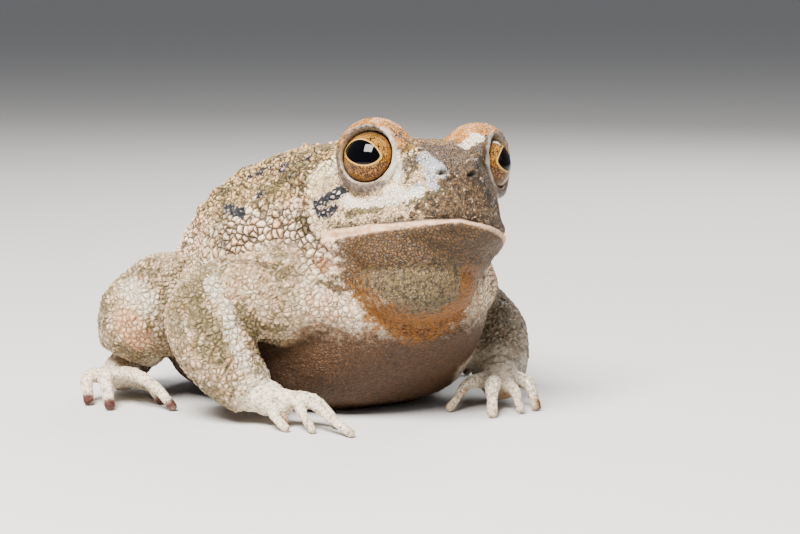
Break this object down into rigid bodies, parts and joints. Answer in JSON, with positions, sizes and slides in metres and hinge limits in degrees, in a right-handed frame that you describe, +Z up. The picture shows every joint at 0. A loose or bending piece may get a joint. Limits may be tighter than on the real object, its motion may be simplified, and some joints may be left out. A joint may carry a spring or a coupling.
{
  "type": "texas toad",
  "caption": "Life-size still model of a Texas toad sitting with its head raised, warty skin, gold-rimmed eyes and a partly filled vocal sac under the chin.",
  "frame": {"origin": "middle of the toad's box in plan, on the floor it sits on", "axes": "+Z up; the toad faces -Y, and its left side is towards +X"},
  "size_m": [0.0808, 0.07, 0.0486],
  "materials": {
    "skin_tan": "warty skin, tan and olive-brown, slightly moist",
    "skin_pale": "fine-grained skin, cream with olive bands",
    "sac_skin": "thin loose skin, ochre and grey-olive",
    "eye": "wet and glossy, copper-gold with a dark pupil"
  },
  "bodies": {
    "root": {"head": "skin_tan", "eye_right": "eye", "eye_left": "eye", "throat_sac": "sac_skin", "torso": "skin_tan", "upper_arm_right": "skin_tan", "forearm_right": "skin_pale", "hand_right": "skin_pale", "upper_arm_left": "skin_tan", "forearm_left": "skin_pale", "hand_left": "skin_pale", "thigh_right": "skin_tan", "shank_right": "skin_tan", "foot_right": "skin_pale", "thigh_left": "skin_tan", "shank_left": "skin_tan", "foot_left": "skin_pale"}
  },
  "joints": []
}
